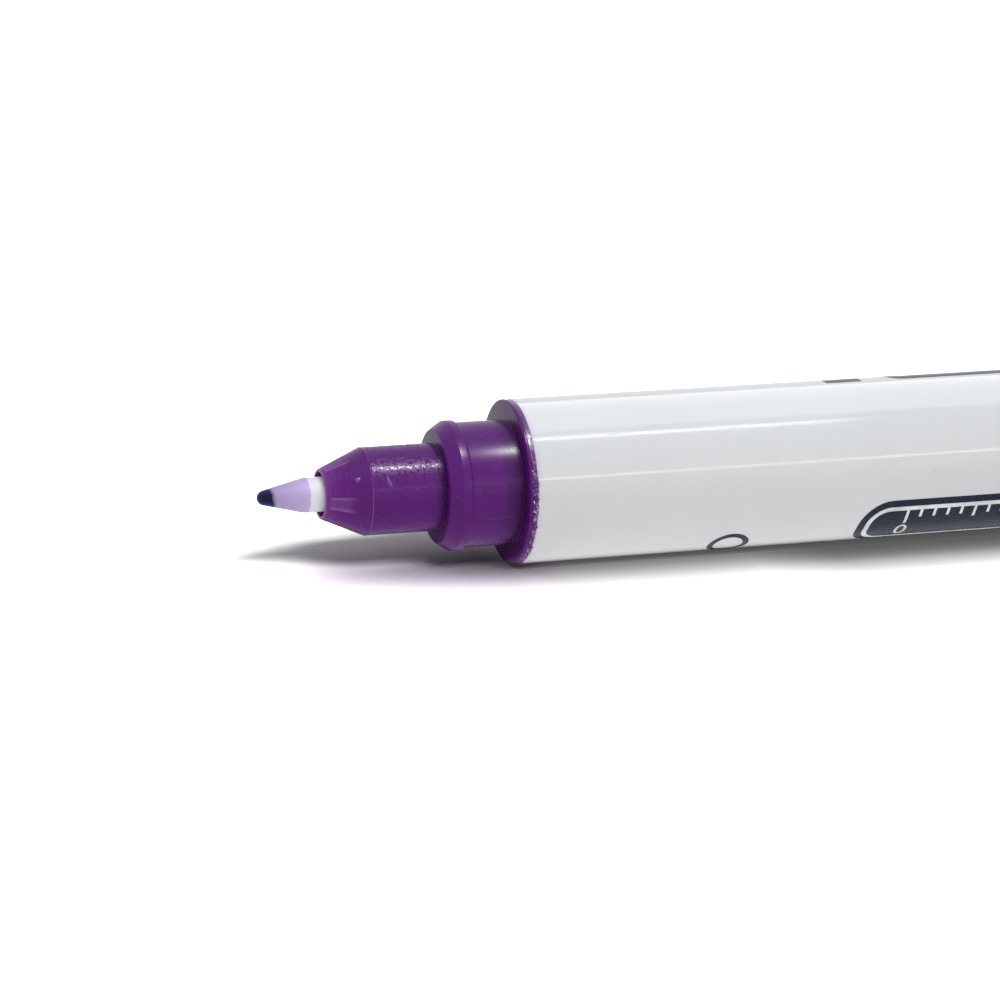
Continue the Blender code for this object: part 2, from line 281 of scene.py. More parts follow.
@named
class PrintSizes(PropertyGroup):
    """Layout of the plain print on the barrel: a ruler, an end mark at each end and a panel for writing"""

    lift: length("How far the ink's underside stands off the barrel", 0.000003)
    ink: length("Thickness of one coat of ink", 0.000006)
    ruler_start: length("Where the ruler's bar begins, from the barrel's end", 0.0232)
    ruler_margin: length("From the bar's end to the ruler's zero", 0.0034)
    ruler_unit: length("From one numeral to the next", 0.0100)
    ruler_units: count("How many units the ruler measures", 4)
    ruler_width: length("Width of the bar round the barrel", 0.0050)
    ruler_round: length("Rounding of the bar's corners", 0.0022)
    ruler_border: length("Navy border outside the bar's white line", 0.00055)
    ruler_line: length("Width of the bar's white line", 0.00034)
    ruler_top: angle("Upper edge of the bar, below the side that faces front", 20.5)
    tick_width: length("Width of a tick", 0.00020)
    tick_short: length("Length of a tenth's tick", 0.0007)
    tick_middle: length("Length of a half unit's tick", 0.0010)
    tick_long: length("Length of a unit's tick", 0.0013)
    numeral: length("Height of the numerals", 0.0019)
    mark_place: length("From the barrel's end to the middle of an end mark", 0.0142)
    mark_radius: length("Radius of an end mark", 0.00145)
    mark_line: length("Line width of the open end mark", 0.00042)
    mark_turn: angle("Middle of an end mark, below the side that faces front", 57.0)
    panel_start: length("Where the writing panel begins, from the barrel's end", 0.0268)
    panel_length: length("Length of the writing panel", 0.0560)
    panel_width: length("Width of the writing panel round the barrel", 0.0080)
    panel_line: length("Line width of the writing panel's frame", 0.0009)
    panel_round: length("Rounding of the panel's corners", 0.0012)
    panel_front: angle("Front edge of the panel, above the side that faces front", 84.6)
    dash_start: length("Where the dash before the panel begins", 0.0222)
    dash_length: length("Length of that dash", 0.0026)


@named
class MarkerColours(PropertyGroup):
    """Linear colours of the marker's materials"""

    barrel: colour("White of the barrel", (0.80, 0.805, 0.82))
    purple: colour("Purple of holders and caps", (0.115, 0.010, 0.185))
    # Painted light shining through the thin plastic of a holder's lip
    lip: colour("Thin purple at a holder's mouth", (0.20, 0.03, 0.28))
    # Painted highlight: pale purple that stands in for light along flute sides, marks, the ridge and the
    # mouth's rim
    rubbed: colour("Purple that is rubbed pale along edges", (0.42, 0.20, 0.46))
    scuff: colour("Purple in a scratch", (0.30, 0.14, 0.40))
    dust: colour("Dust on the purple", (0.42, 0.32, 0.48))
    # Partly whitening of torn plastic, partly painted glints on the weld's crests
    torn: colour("Torn crests of the weld", (0.52, 0.40, 0.60))
    print: colour("Navy of the print", (0.010, 0.020, 0.042))
    nib: colour("White of the dry nib", (0.97, 0.93, 1.00))
    stain: colour("Lavender of the stained nib", (0.65, 0.51, 0.89))
    wet_ink: colour("Ink that is still wet", (0.008, 0.004, 0.034))
    ink_sheen: colour("Sheen at the rim of wet ink", (0.070, 0.135, 0.560))
    liner: colour("Milky plastic of the liners", (0.72, 0.72, 0.70))
    felt: colour("Broad nib, full of ink", (0.060, 0.030, 0.180))
    fibre: colour("Fibres of the reservoir", (0.10, 0.06, 0.25))
    film: colour("Film round the reservoir", (0.75, 0.75, 0.78))
    floor: colour("Floor that the marker lies on", (0.95, 0.95, 0.95))
    # Painted purple bounce light: the tint that the floor's painted shade takes beside the purple ends
    floor_shade: colour("The same floor in the shade of the purple ends", (0.95, 0.82, 0.99))


@named
class StageLevels(PropertyGroup):
    """Camera and light of the studio; a light's level is its radiance"""

    camera_place: FloatVectorProperty(
        description="Where the camera stands",
        default=(-0.132934, -0.227752, 0.0566375),
        size=3,
        precision=6,
        subtype="TRANSLATION",
        unit="LENGTH",
    )
    camera_turn: FloatVectorProperty(
        description="How the camera is turned",
        default=(math.radians(77.639), 0.0, math.radians(-17.640)),
        size=3,
        subtype="EULER",
    )
    lens: FloatProperty(
        description="Focal length on a 36 mm sensor", default=132.40, min=1.0, unit="CAMERA"
    )
    overhead: level("Broad light over the marker", 2.3)
    overhead_tint: colour("Colour of that light", (0.93, 0.98, 1.0))
    front_fill: level("Weak light on the marker's front", 1.10)
    back_fill: level("Weak light on the marker's back", 0.45)
    strip: level("Strip that draws the bright line on the barrel", 7.5)
    tip_strip: level("Strip that draws the bright band on the nose", 110.0)
    side_strip: level("Strip that draws the faint line on the barrel", 5.5)
    back_strip: level("Soft strip that the barrel's top mirrors", 1.75)
    cap_strip: level("Long strip that draws a line on the caps", 14.0)
    left_window: level("Left front light on the floor", 54.0)
    right_window: level("Right front light on the floor", 26.0)
    world_back: level("Radiance of the studio's walls behind and above", 0.22)
    world_front: level("Radiance of the studio on the camera's side", 0.14)
    floor_bounce: level("Share of its light that the floor throws back on the marker", 0.38)
    # The floor's painted contact shadow, and the painted glow that lifts its shade, both seen by the camera
    # only
    contact_reach: length("How far from the marker the floor darkens", 0.0088)
    contact_depth: level("How strongly the floor darkens beside the fine end", 2.5)
    middle_depth: level("How strongly the floor darkens beside the marker's middle", 4.2)
    contact_light: level("Share of its light that the floor keeps right at the fine end", 0.052)
    middle_light: level("Share of its light that the floor keeps right at the middle", 0.012)
    shade_light: level("Light that the camera sees in the floor's shade", 0.11)
    shade_middle: level("Share of that light along the marker's middle", 0.83)
    # Painted white glow behind the marker that glossy surfaces see
    gloss_lift: level("Share of plain white that glossy surfaces see in the floor", 0.28)


@named
class MarkerSettings(PropertyGroup):
    """Everything that the marker's operators read"""

    barrel: PointerProperty(type=BarrelSizes, description="The barrel's sizes")
    holder: PointerProperty(type=HolderSizes, description="The tip holders' sizes")
    nib: PointerProperty(type=NibSizes, description="The nibs' sizes")
    cap: PointerProperty(type=CapSizes, description="The caps' sizes")
    print: PointerProperty(type=PrintSizes, description="The print's layout")
    colours: PointerProperty(type=MarkerColours, description="The materials' colours")
    stage: PointerProperty(type=StageLevels, description="The studio's camera and light")


# Node trees


def with_alpha(value):
    """A linear colour as a colour socket takes it, or the socket itself."""
    return value if isinstance(value, NodeSocket) else (*value[:3], 1.0)


def tinted(value, factor):
    """A colour made lighter or darker."""
    return tuple(min(1.0, channel * factor) for channel in value[:3])


class Nodes:
    """A shader node tree, and short ways to add to it"""

    def __init__(self, tree):
        self.tree = tree

    def feed(self, socket, value):
        """Links an input to a socket, or sets it to a value."""
        if isinstance(value, NodeSocket):
            self.tree.links.new(value, socket)
        else:
            socket.default_value = value

    def add(self, kind, inputs=None, **settings):
        """A shader node with its settings made and its inputs fed."""
        made = self.tree.nodes.new("ShaderNode" + kind)
        for name, value in settings.items():
            setattr(made, name, value)
        for name, value in (inputs or {}).items():
            self.feed(made.inputs[name], value)
        return made

    def place(self):
        """Object coordinates, which are metres in the marker's frame."""
        return self.add("TexCoord").outputs["Object"]

    def axes(self, place):
        """A place's X, Y and Z."""
        return self.add("SeparateXYZ", {"Vector": place}).outputs

    def noise(self, place, scale, detail, distortion=0.0):
        """Soft noise round 0.5."""
        inputs = {"Vector": place, "Scale": scale, "Detail": detail, "Distortion": distortion}
        return self.add("TexNoise", inputs).outputs["Fac"]

    def math(self, operation, first, second=0.0):
        """One arithmetic step."""
        return self.add("Math", {0: first, 1: second}, operation=operation).outputs[0]

    def times(self, first, second):
        """A product."""
        return self.math("MULTIPLY", first, second)

    def hypotenuse(self, first, second):
        """The distance that two sides at right angles span."""
        return self.math("SQRT", self.math("ADD", self.times(first, first), self.times(second, second)))

    def fade(self, value, start, end, low=0.0, high=1.0):
        """A value mapped from one range to another and held at its ends."""
        inputs = {"Value": value, "From Min": start, "From Max": end, "To Min": low, "To Max": high}
        return self.add("MapRange", inputs, clamp=True).outputs["Result"]

    def vary(self, mask, low=0.0, high=1.0, spread=0.2):
        """A value that follows a noise mask."""
        return self.fade(mask, 0.5 - spread, 0.5 + spread, low, high)

    def mix(self, factor, first, second):
        """Two colours mixed by a factor."""
        inputs = {0: factor, 6: with_alpha(first), 7: with_alpha(second)}
        return self.add("Mix", inputs, data_type="RGBA", clamp_factor=True).outputs[2]

    def mottle(self, mask, base, dark, light, spread=0.2):
        """A colour that follows a noise mask from darker to lighter."""
        return self.mix(self.vary(mask, spread=spread), tinted(base, dark), tinted(base, light))

    def group(self, lay_out, **values):
        """The outputs of a shared node group, which is built the first time that a material asks for it."""
        name = lay_out.__name__.replace("_", " ").capitalize()
        shared = bpy.data.node_groups.get(name) or new_group(name, lay_out)
        placed = self.add("Group", node_tree=shared)
        for argument, value in values.items():
            placed.inputs[socket_name(argument)].default_value = value
        return placed.outputs

    def surface(self, shader, base, roughness, height, distance, strength=1.0):
        """Colour, roughness and relief fed to a Principled shader."""
        bump = self.add("Bump", {"Height": height, "Distance": distance, "Strength": strength})
        self.feed(shader["Base Color"], base)
        self.feed(shader["Roughness"], roughness)
        self.feed(shader["Normal"], bump.outputs["Normal"])


def socket_name(argument):
    """The name of the socket that stands for a function's argument."""
    return argument.replace("_", " ").title()


def new_group(name, lay_out):
    """A node group from a function, whose arguments are its inputs and whose result is its outputs."""
    group = bpy.data.node_groups.new(name, "ShaderNodeTree")
    _, *arguments = inspect.signature(lay_out).parameters
    for argument in arguments:
        group.interface.new_socket(socket_name(argument), in_out="INPUT", socket_type="NodeSocketFloat")
    given = group.nodes.new("NodeGroupInput").outputs
    made = lay_out(Nodes(group), *(given[socket_name(argument)] for argument in arguments))
    for socket in made:
        group.interface.new_socket(socket, in_out="OUTPUT", socket_type="NodeSocketFloat")
    out = group.nodes.new("NodeGroupOutput").inputs
    for socket, value in made.items():
        group.links.new(value, out[socket])
    return group


def moulded_grain(nodes, grain_scale, flow_scale):
    """Fine grain and slow unevenness of moulded plastic."""
    place = nodes.place()
    return {"Grain": nodes.noise(place, grain_scale, 1.0), "Flow": nodes.noise(place, flow_scale, 2.0)}


def handling_marks(nodes, scratch_scale, speck_scale):
    """Hairline scratches in two directions, and specks of dust."""
    place = nodes.place()
    lines = []
    for rotation in ((0.3, 0.5, 0.9), (1.2, -0.4, 0.2)):
        inputs = {"Vector": place, "Rotation": rotation, "Scale": (0.25, 12.0, 12.0)}
        stretched = nodes.add("Mapping", inputs).outputs[0]
        lines.append(nodes.fade(nodes.noise(stretched, scratch_scale, 0.0), 0.74, 0.80))
    patches = nodes.fade(nodes.noise(place, scratch_scale, 0.0), 0.50, 0.62)
    cells = nodes.add("TexVoronoi", {"Vector": place, "Scale": speck_scale}).outputs
    chance = nodes.add("SeparateColor", {"Color": cells["Color"]}).outputs[0]
    dots = nodes.fade(cells["Distance"], 0.05, 0.12, 1.0, 0.0)
    return {
        "Scratches": nodes.times(nodes.math("MAXIMUM", *lines), patches),
        "Specks": nodes.times(dots, nodes.fade(chance, 0.90, 0.91)),
    }


def ragged_edge(nodes, start, end, ragged, scale, slant):
    """A mask that rises from 0 at Start to 1 at End along X, slanted in Z, with a ragged line between."""
    place = nodes.place()
    axes = nodes.axes(place)
    wander = nodes.times(nodes.math("SUBTRACT", nodes.noise(place, scale, 4.0), 0.5), ragged)
    lean = nodes.times(nodes.math("SUBTRACT", axes["Z"], AXIS_HEIGHT), slant)
    shifted = nodes.math("ADD", nodes.math("ADD", axes["X"], wander), lean)
    return {"Mask": nodes.fade(shifted, start, end)}


def from_axis(nodes):
    """How far a point lies from the marker's axis, and along it from the barrel's middle."""
    axes = nodes.axes(nodes.place())
    radius = nodes.hypotenuse(axes["Y"], nodes.math("SUBTRACT", axes["Z"], AXIS_HEIGHT))
    along = nodes.math("ABSOLUTE", nodes.math("SUBTRACT", axes["X"], BARREL_MIDDLE))
    return {"Radius": radius, "Along": along}


def corner_shade(nodes, along, radius, reach):
    """A mask round an inner corner at Along and Radius: 1 in the corner and 0 from Reach on."""
    place = nodes.group(from_axis)
    across = nodes.math("SUBTRACT", place["Along"], along)
    out_by = nodes.math("SUBTRACT", place["Radius"], radius)
    return {"Mask": nodes.fade(nodes.hypotenuse(across, out_by), 0.0, reach, 1.0, 0.0)}


def fibre_strands(nodes, scale):
    """Strands that run along the marker."""
    stretched = nodes.add("Mapping", {"Vector": nodes.place(), "Scale": (0.06, 1.0, 1.0)}).outputs[0]
    return {"Strand": nodes.noise(stretched, scale, 3.0, distortion=0.3)}


# Materials


def new_material(name):
    """A material; gives it, its nodes and the inputs of its Principled shader."""
    material = bpy.data.materials.new(name)
    material.use_nodes = True
    return material, Nodes(material.node_tree), material.node_tree.nodes["Principled BSDF"].inputs


def gloss_white(settings):
    """Barrel: glossy white plastic, a little uneven, with a breath of purple beside each weld."""
    material, nodes, shader = new_material("gloss_white")
    white = settings.colours.barrel
    smear = settings.barrel.smear
    grain = nodes.group(moulded_grain, grain_scale=2600.0, flow_scale=130.0)
    marks = nodes.group(handling_marks, scratch_scale=900.0, speck_scale=700.0)
    base = nodes.mottle(grain["Flow"], white, 0.985, 1.01, spread=0.15)
    lavender = white[0] * 0.90, white[1] * 0.84, white[2]
    for weld, clear in ((BARREL_LOW.x, BARREL_LOW.x + smear), (BARREL_HIGH.x, BARREL_HIGH.x - smear)):
        edge = nodes.group(ragged_edge, start=weld, end=clear, ragged=0.0004, scale=1500.0)
        base = nodes.mix(edge["Mask"], lavender, base)
    base = nodes.mix(nodes.times(marks["Specks"], 0.25), base, tinted(white, 0.55))
    base = nodes.mix(nodes.times(marks["Scratches"], 0.06), base, tinted(white, 0.8))
    roughness = nodes.vary(grain["Flow"], 0.08, 0.13)
    scratched = nodes.math("ADD", roughness, nodes.times(marks["Scratches"], 0.2))
    nodes.surface(shader, base, scratched, grain["Flow"], 0.00001, 0.35)
    return material


def purple_plastic(name, settings, shine, grain_depth, wear=None):
    """Purple moulded plastic with a given roughness and depth of grain, and its own wear and painted light if
    given.
    """
    material, nodes, shader = new_material(name)
    colours = settings.colours
    grain = nodes.group(moulded_grain, grain_scale=5200.0, flow_scale=420.0)
    marks = nodes.group(handling_marks, scratch_scale=1500.0, speck_scale=1700.0)
    base = nodes.mottle(grain["Flow"], colours.purple, 0.94, 1.06)
    spotting = 0.03
    if wear:
        base, spotting = wear(nodes, settings, base)
    base = nodes.mix(nodes.times(marks["Scratches"], 0.25), base, colours.scuff)
    base = nodes.mix(nodes.times(marks["Specks"], 0.20), base, colours.dust)
    spots = nodes.times(nodes.vary(grain["Grain"], -1.0, 1.0, spread=0.12), spotting)
    nodes.surface(shader, base, nodes.math("ADD", spots, shine), grain["Grain"], grain_depth)
    shader["Specular IOR Level"].default_value = 0.17
    return material


def holder_wear(nodes, settings, base):
    """Colour: turning rings on the cone, painted light through the thin lip, painted shade in the inner
    corners, painted highlights along edges. Spotting: on the nose.
    """
    sizes = settings.holder
    colours = settings.colours
    along = nodes.group(from_axis)["Along"]
    nose = SEAT_ALONG + sizes.collar
    cone = nose + sizes.nose
    # Where painted shade darkens the inner corners at the nose's root and the flange's root
    nose_root = nodes.group(corner_shade, along=nose, radius=sizes.nose_radius, reach=0.0007)
    flange_root = nodes.group(corner_shade, along=SEAT_ALONG, radius=sizes.collar_radius, reach=0.0014)
    corners = nodes.math("MAXIMUM", nose_root["Mask"], flange_root["Mask"])
    rings = nodes.add("TexNoise", {"W": along, "Scale": 9000.0, "Detail": 1.0}, noise_dimensions="1D")
    on_cone = nodes.fade(along, cone + 0.0005, cone + 0.0020)
    ringed = nodes.times(nodes.vary(rings.outputs["Fac"], spread=0.15), on_cone)
    base = nodes.mix(ringed, base, tinted(colours.purple, 1.35))
    # Painted light shining through the thin lip at the mouth
    base = nodes.mix(nodes.fade(along, MOUTH_ALONG - 0.0009, MOUTH_ALONG - 0.0001), base, colours.lip)
    # Painted shade in those inner corners
    base = nodes.mix(nodes.times(corners, 0.75), base, tinted(colours.purple, 0.2))
    # Painted highlights: the pale layer on flute sides, marks and ridge, and a pale rim at the mouth
    edges = nodes.add("Attribute", attribute_name="pale").outputs["Fac"]
    rubbed = nodes.math("MAXIMUM", edges, nodes.fade(along, MOUTH_ALONG - 0.00012, MOUTH_ALONG, 0.0, 0.5))
    base = nodes.mix(rubbed, base, colours.rubbed)
    before_cone = nodes.fade(along, cone - 0.0002, cone + 0.0002, 1.0, 0.0)
    on_nose = nodes.times(nodes.fade(along, nose, nose + 0.0004), before_cone)
    return base, nodes.fade(on_nose, 0.0, 1.0, 0.02, 0.17)


def holder_purple(settings):
    """Tip holders: semi-gloss, with the grain of a worn mould."""
    return purple_plastic("holder_purple", settings, 0.27, 0.0000003, holder_wear)


def cap_purple(settings):
    """Caps: polished."""
    return purple_plastic("cap_purple", settings, 0.20, 0.000001)


def weld_purple(settings):
    """Weld flash: purple plastic with pale crests, pale partly from tearing and partly as painted glints."""
    material, nodes, shader = new_material("weld_purple")
    radius = settings.barrel.radius
    grain = nodes.group(moulded_grain, grain_scale=14000.0, flow_scale=5200.0)
    # Pale crests: whitening of torn plastic, with painted glints on the highest lumps
    crests = nodes.fade(nodes.group(from_axis)["Radius"], radius - 0.00006, radius + 0.00003)
    pale = nodes.times(crests, nodes.vary(grain["Flow"], spread=0.1))
    base = nodes.mix(pale, tinted(settings.colours.purple, 0.8), settings.colours.torn)
    nodes.surface(shader, base, nodes.vary(grain["Grain"], 0.16, 0.30), grain["Grain"], 0.00001)
    return material


def nib_plastic(settings):
    """Fine nib: white porous plastic, stained lavender on its cone and wet at the point."""
    material, nodes, shader = new_material("nib_plastic")
    colours = settings.colours
    grain = nodes.group(moulded_grain, grain_scale=9000.0, flow_scale=1300.0)
    wet_end = FINE_POINT + settings.nib.wet
    stain_end = FINE_POINT + settings.nib.stained
    edges = []
    for x, half, ragged, scale, slant in (
        (wet_end, 0.00014, 0.0005, 1900.0, 0.20),
        (stain_end, 0.00006, 0.00022, 5200.0, 0.0),
    ):
        shape = {"start": x - half, "end": x + half, "ragged": ragged, "scale": scale, "slant": slant}
        edges.append(nodes.group(ragged_edge, **shape)["Mask"])
    dry, unstained = edges
    near_ink = nodes.fade(nodes.axes(nodes.place())["X"], wet_end, stain_end, 1.0, 0.0)
    base = nodes.mottle(grain["Flow"], colours.stain, 0.94, 1.06)
    base = nodes.mix(near_ink, base, tinted(colours.stain, 0.74))
    base = nodes.mix(unstained, base, colours.nib)
    rim = nodes.add("LayerWeight", {"Blend": 0.25}).outputs["Facing"]
    base = nodes.mix(dry, nodes.mix(rim, colours.wet_ink, colours.ink_sheen), base)
    nodes.surface(shader, base, nodes.fade(dry, 0.0, 1.0, 0.20, 0.48), grain["Grain"], 0.000004)
    shader["Specular IOR Level"].default_value = 0.15
    return material


def even_finish(name, base, masks, tones, shine, relief, specular=0.5, **scales):
    """A finish of one colour: one mask of a group varies its tone, another its roughness and relief."""
    material, nodes, shader = new_material(name)
    group, slow, fine = masks
    pattern = nodes.group(group, **scales)
    tone = nodes.mottle(pattern[slow], base, *tones)
    nodes.surface(shader, tone, nodes.vary(pattern[fine], *shine), pattern[fine], *relief)
    shader["Specular IOR Level"].default_value = specular
    return material


STRANDS = fibre_strands, "Strand", "Strand"
GRAINED = moulded_grain, "Flow", "Grain"
CREASED = moulded_grain, "Flow", "Flow"


def felt_ink(colours):
    """Broad nib: pressed fibres full of ink."""
    tones, shine, relief = (0.6, 1.5, 0.15), (0.65, 0.9), (0.00006, 0.8)
    return even_finish("felt_ink", colours.felt, STRANDS, tones, shine, relief, scale=9000.0)


def reservoir_fibre(colours):
    """Reservoir: a bundle of inked fibres."""
    tones, shine, relief = (0.6, 1.6, 0.15), (0.8, 0.95), (0.0001, 0.9)
    return even_finish("reservoir_fibre_strands", colours.fibre, STRANDS, tones, shine, relief, scale=5000.0)


def reservoir_film(colours):
    """Film round the reservoir: pale and a little creased."""
    scales = {"grain_scale": 2500.0, "flow_scale": 350.0}
    tones, shine, relief = (0.88, 1.04), (0.22, 0.38), (0.00004, 0.6)
    return even_finish("reservoir_film_wrap", colours.film, CREASED, tones, shine, relief, **scales)


def liner_milky(colours):
    """Liners: natural milky plastic."""
    scales = {"grain_scale": 3600.0, "flow_scale": 300.0}
    tones, shine, relief = (0.93, 1.03), (0.38, 0.52), (0.00001, 0.5)
    return even_finish("liner_milky", colours.liner, GRAINED, tones, shine, relief, **scales)


def print_ink(name, ink):
    """One coat of printing ink, thinner in places."""
    scales = {"grain_scale": 7000.0, "flow_scale": 900.0}
    tones, shine, relief = (0.9, 1.25), (0.20, 0.34), (0.000003, 0.4)
    return even_finish(name, ink, GRAINED, tones, shine, relief, specular=0.2, **scales)


def floor_pale(settings):
    """Floor: pale and faintly flecked.

    The camera sees a painted contact shadow on it close to the marker, painted purple bounce light in the
    shade of the purple ends, a painted glow that lifts that shade, and white far off.
    Glossy surfaces see a little painted white glow in it behind the marker. All other light meets a dimmer
    floor.
    """
    material, nodes, shader = new_material("floor_pale")
    levels = settings.stage
    pale = settings.colours.floor
    place = nodes.place()
    axes = nodes.axes(place)
    path = nodes.add("LightPath").outputs
    seen = path["Is Camera Ray"]
    nearby = nodes.add("AmbientOcclusion", {"Distance": levels.contact_reach}, samples=8).outputs["AO"]
    depth = nodes.fade(axes["X"], *TO_MIDDLE, levels.contact_depth, levels.middle_depth)
    least = nodes.fade(axes["X"], *TO_MIDDLE, levels.contact_light, levels.middle_light)
    openness = nodes.math("POWER", nearby, depth)
    at_ends = nodes.fade(nodes.group(from_axis)["Along"], *TO_ENDS)
    shade = nodes.mix(at_ends, pale, settings.colours.floor_shade)
    flecked = nodes.mix(nodes.noise(place, 90.0, 4.0), tinted(pale, 0.997), tinted(pale, 1.003))
    darkened = nodes.mix(
        nodes.fade(openness, 0.0, 1.0, least, 1.0), BLACK, nodes.mix(openness, shade, flecked)
    )
    nodes.feed(shader["Base Color"], nodes.mix(seen, tinted(pale, levels.floor_bounce), darkened))
    nodes.feed(shader["Emission Color"], nodes.mix(openness, shade, WHITE))
    near_light = nodes.times(nodes.fade(at_ends, 0.0, 1.0, levels.shade_middle, nearby), levels.shade_light)
    away = nodes.add("VectorMath", {0: place}, operation="LENGTH").outputs["Value"]
    light = nodes.times(nodes.fade(away, *TO_FAR, near_light, 1.0), seen)
    mirrored = nodes.times(
        nodes.math("MAXIMUM", path["Is Glossy Ray"], path["Is Transmission Ray"]),
        nodes.fade(axes["Y"], *TO_BACK, 0.0, levels.gloss_lift),
    )
    nodes.feed(shader["Emission Strength"], nodes.math("ADD", light, mirrored))
    shader["Roughness"].default_value = 0.9
    shader["Specular IOR Level"].default_value = 0.0
    return material


# Meshes


def everything(shape):
    """All of a shape's vertices, edges and faces."""
    return shape.verts[:] + shape.edges[:] + shape.faces[:]


def round_off(shape, points, offset, segments):
    """Rounds corners of a wire or a flat face."""
    bmesh.ops.bevel(
        shape, geom=points, offset=offset, affect="VERTICES", segments=segments, profile=0.5, material=-1
    )


def cut_across(shape, way, places):
    """Cuts a shape across a direction at several places."""
    for place in places:
        plane = {"plane_co": place * way, "plane_no": way, "dist": MERGE_DISTANCE}
        bmesh.ops.bisect_plane(shape, geom=everything(shape), **plane)


def clean(shape):
    """Merges doubles and turns the faces outwards."""
    bmesh.ops.remove_doubles(shape, verts=shape.verts[:], dist=MERGE_DISTANCE)
    bmesh.ops.recalc_face_normals(shape, faces=shape.faces[:])


def turned(outline, steps=TURN_STEPS, cuts=()):
    """A shape turned about X from (x, radius, rounding) points, also cut across X where cuts say.

    It is a ring, or a solid if both ends of the outline lie on the axis.
    """
    shape = bmesh.new()
    points = [shape.verts.new((x, 0.0, radius)) for x, radius, _ in outline]
    for first, second in zip(points, points[1:]):
        shape.edges.new((first, second))
    if outline[0][1] > 0.0:
        shape.edges.new((points[-1], points[0]))
    for point, (_, _, rounding) in zip(points, outline):
        if rounding > 0.0:
            round_off(shape, [point], rounding, ROUND_STEPS)
    cut_across(shape, Vector((1.0, 0.0, 0.0)), cuts)
    sector = 2 * math.pi / SECTORS
    about = {"axis": (1, 0, 0), "cent": (0, 0, 0)}
    bmesh.ops.spin(shape, geom=everything(shape), angle=sector, steps=steps // SECTORS, **about)
    rest = {"angle": 2 * math.pi - sector, "steps": SECTORS - 1, "use_duplicate": True}
    bmesh.ops.spin(shape, geom=everything(shape), **rest, **about)
    clean(shape)
    return shape


def even_steps(start, end, step):
    """Places between two ends, about one step apart."""
    parts = max(1, round(abs(end - start) / step))
    return [start + (end - start) * index / parts for index in range(1, parts)]


def around(vertex):
    """A vertex's angle about X, from the side that faces front, positive downwards, and its radius."""
    return math.atan2(-vertex.co.z, -vertex.co.y), math.hypot(vertex.co.y, vertex.co.z)


def set_radius(vertex, radius):
    """Moves a vertex straight out or in to a new radius."""
    _, now = around(vertex)
    vertex.co.y *= radius / now
    vertex.co.z *= radius / now


def off_nearest(turn, spokes, first):
    """How far an angle lies from the nearest of several even spokes."""
    pitch = 2 * math.pi / spokes
    return abs((turn - first + pitch / 2) % pitch - pitch / 2)


def add_object(name, shape, material):
    """Makes a shape an object with a material."""
    mesh = bpy.data.meshes.new(name)
    shape.to_mesh(mesh)
    shape.free()
    mesh.materials.append(material)
    made = bpy.data.objects.new(name, mesh)
    bpy.context.scene.collection.objects.link(made)
    return made


def add_piece(name, shape, place, material, body, slot, *nodes):
    """Puts a shape in its place as a piece of the marker that rides on a body and stands for CAD nodes."""
    bmesh.ops.transform(shape, matrix=place, verts=shape.verts[:])
    piece = add_object(name, shape, material)
    piece.data.shade_smooth()
    piece.data.set_sharp_from_angle(angle=SHARP_ANGLE)
    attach(piece, body)
    if nodes:
        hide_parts(*nodes)


def barrel_tube(sizes):
    """White tube between the flanges."""
    bore = sizes.radius - sizes.wall
    corners = (0.0, bore), (0.0, sizes.radius), (BARREL_LENGTH, sizes.radius), (BARREL_LENGTH, bore)
    return turned([(x, radius, sizes.edge) for x, radius in corners])


def weld_flash(sizes):
    """Rough band of melted plastic behind the flange's rim, smooth above, and no lower than the barrel."""
    foot = sizes.radius - sizes.groove
    crest = sizes.radius - sizes.groove / 3
    outline = [
        (sizes.flash_start, foot, 0.0),
        (sizes.flash_start, crest, 0.00006),
        (sizes.flash_end, crest, 0.00006),
        (sizes.flash_end, foot, 0.0),
    ]
    size = sizes.flash_lump
    shape = turned(outline, FLASH_STEPS, even_steps(sizes.flash_start, sizes.flash_end, size / 5))
    for vertex in shape.verts:
        turn, radius = around(vertex)
        if radius > foot + MERGE_DISTANCE:
            off = (off_nearest(turn, 1, SMOOTH_TURN) - SMOOTH_HALF) / SMOOTH_FADE
            rough = SMOOTH_ROUGH + (1.0 - SMOOTH_ROUGH) * min(1.0, max(0.0, off))
            lump = noise.noise(vertex.co / size) + 0.5 * noise.noise(vertex.co / size * 2.3)
            lowest = sizes.radius / max(MERGE_DISTANCE, math.sin(turn))
            set_radius(vertex, min(lowest, radius + sizes.flash_height * rough * max(-0.6, lump)))
            vertex.co.x += 0.25 * size * rough * noise.noise(vertex.co.yzx / size)
    return shape


def snap_collar(sizes, root, end):
    """Outline of a snap collar from its root to its leading edge."""
    way = math.copysign(1.0, end - root)
    bead_front = end - way * sizes.lead
    bead_back = bead_front - way * sizes.bead_width
    return [
        (root, sizes.collar_radius, 0.00005),
        (bead_back - way * sizes.bead_ramp, sizes.collar_radius, 0.00003),
        (bead_back, sizes.bead_radius, 0.00003),
        (bead_front, sizes.bead_radius, 0.00006),
        (end, sizes.lead_radius, 0.00008),
    ]


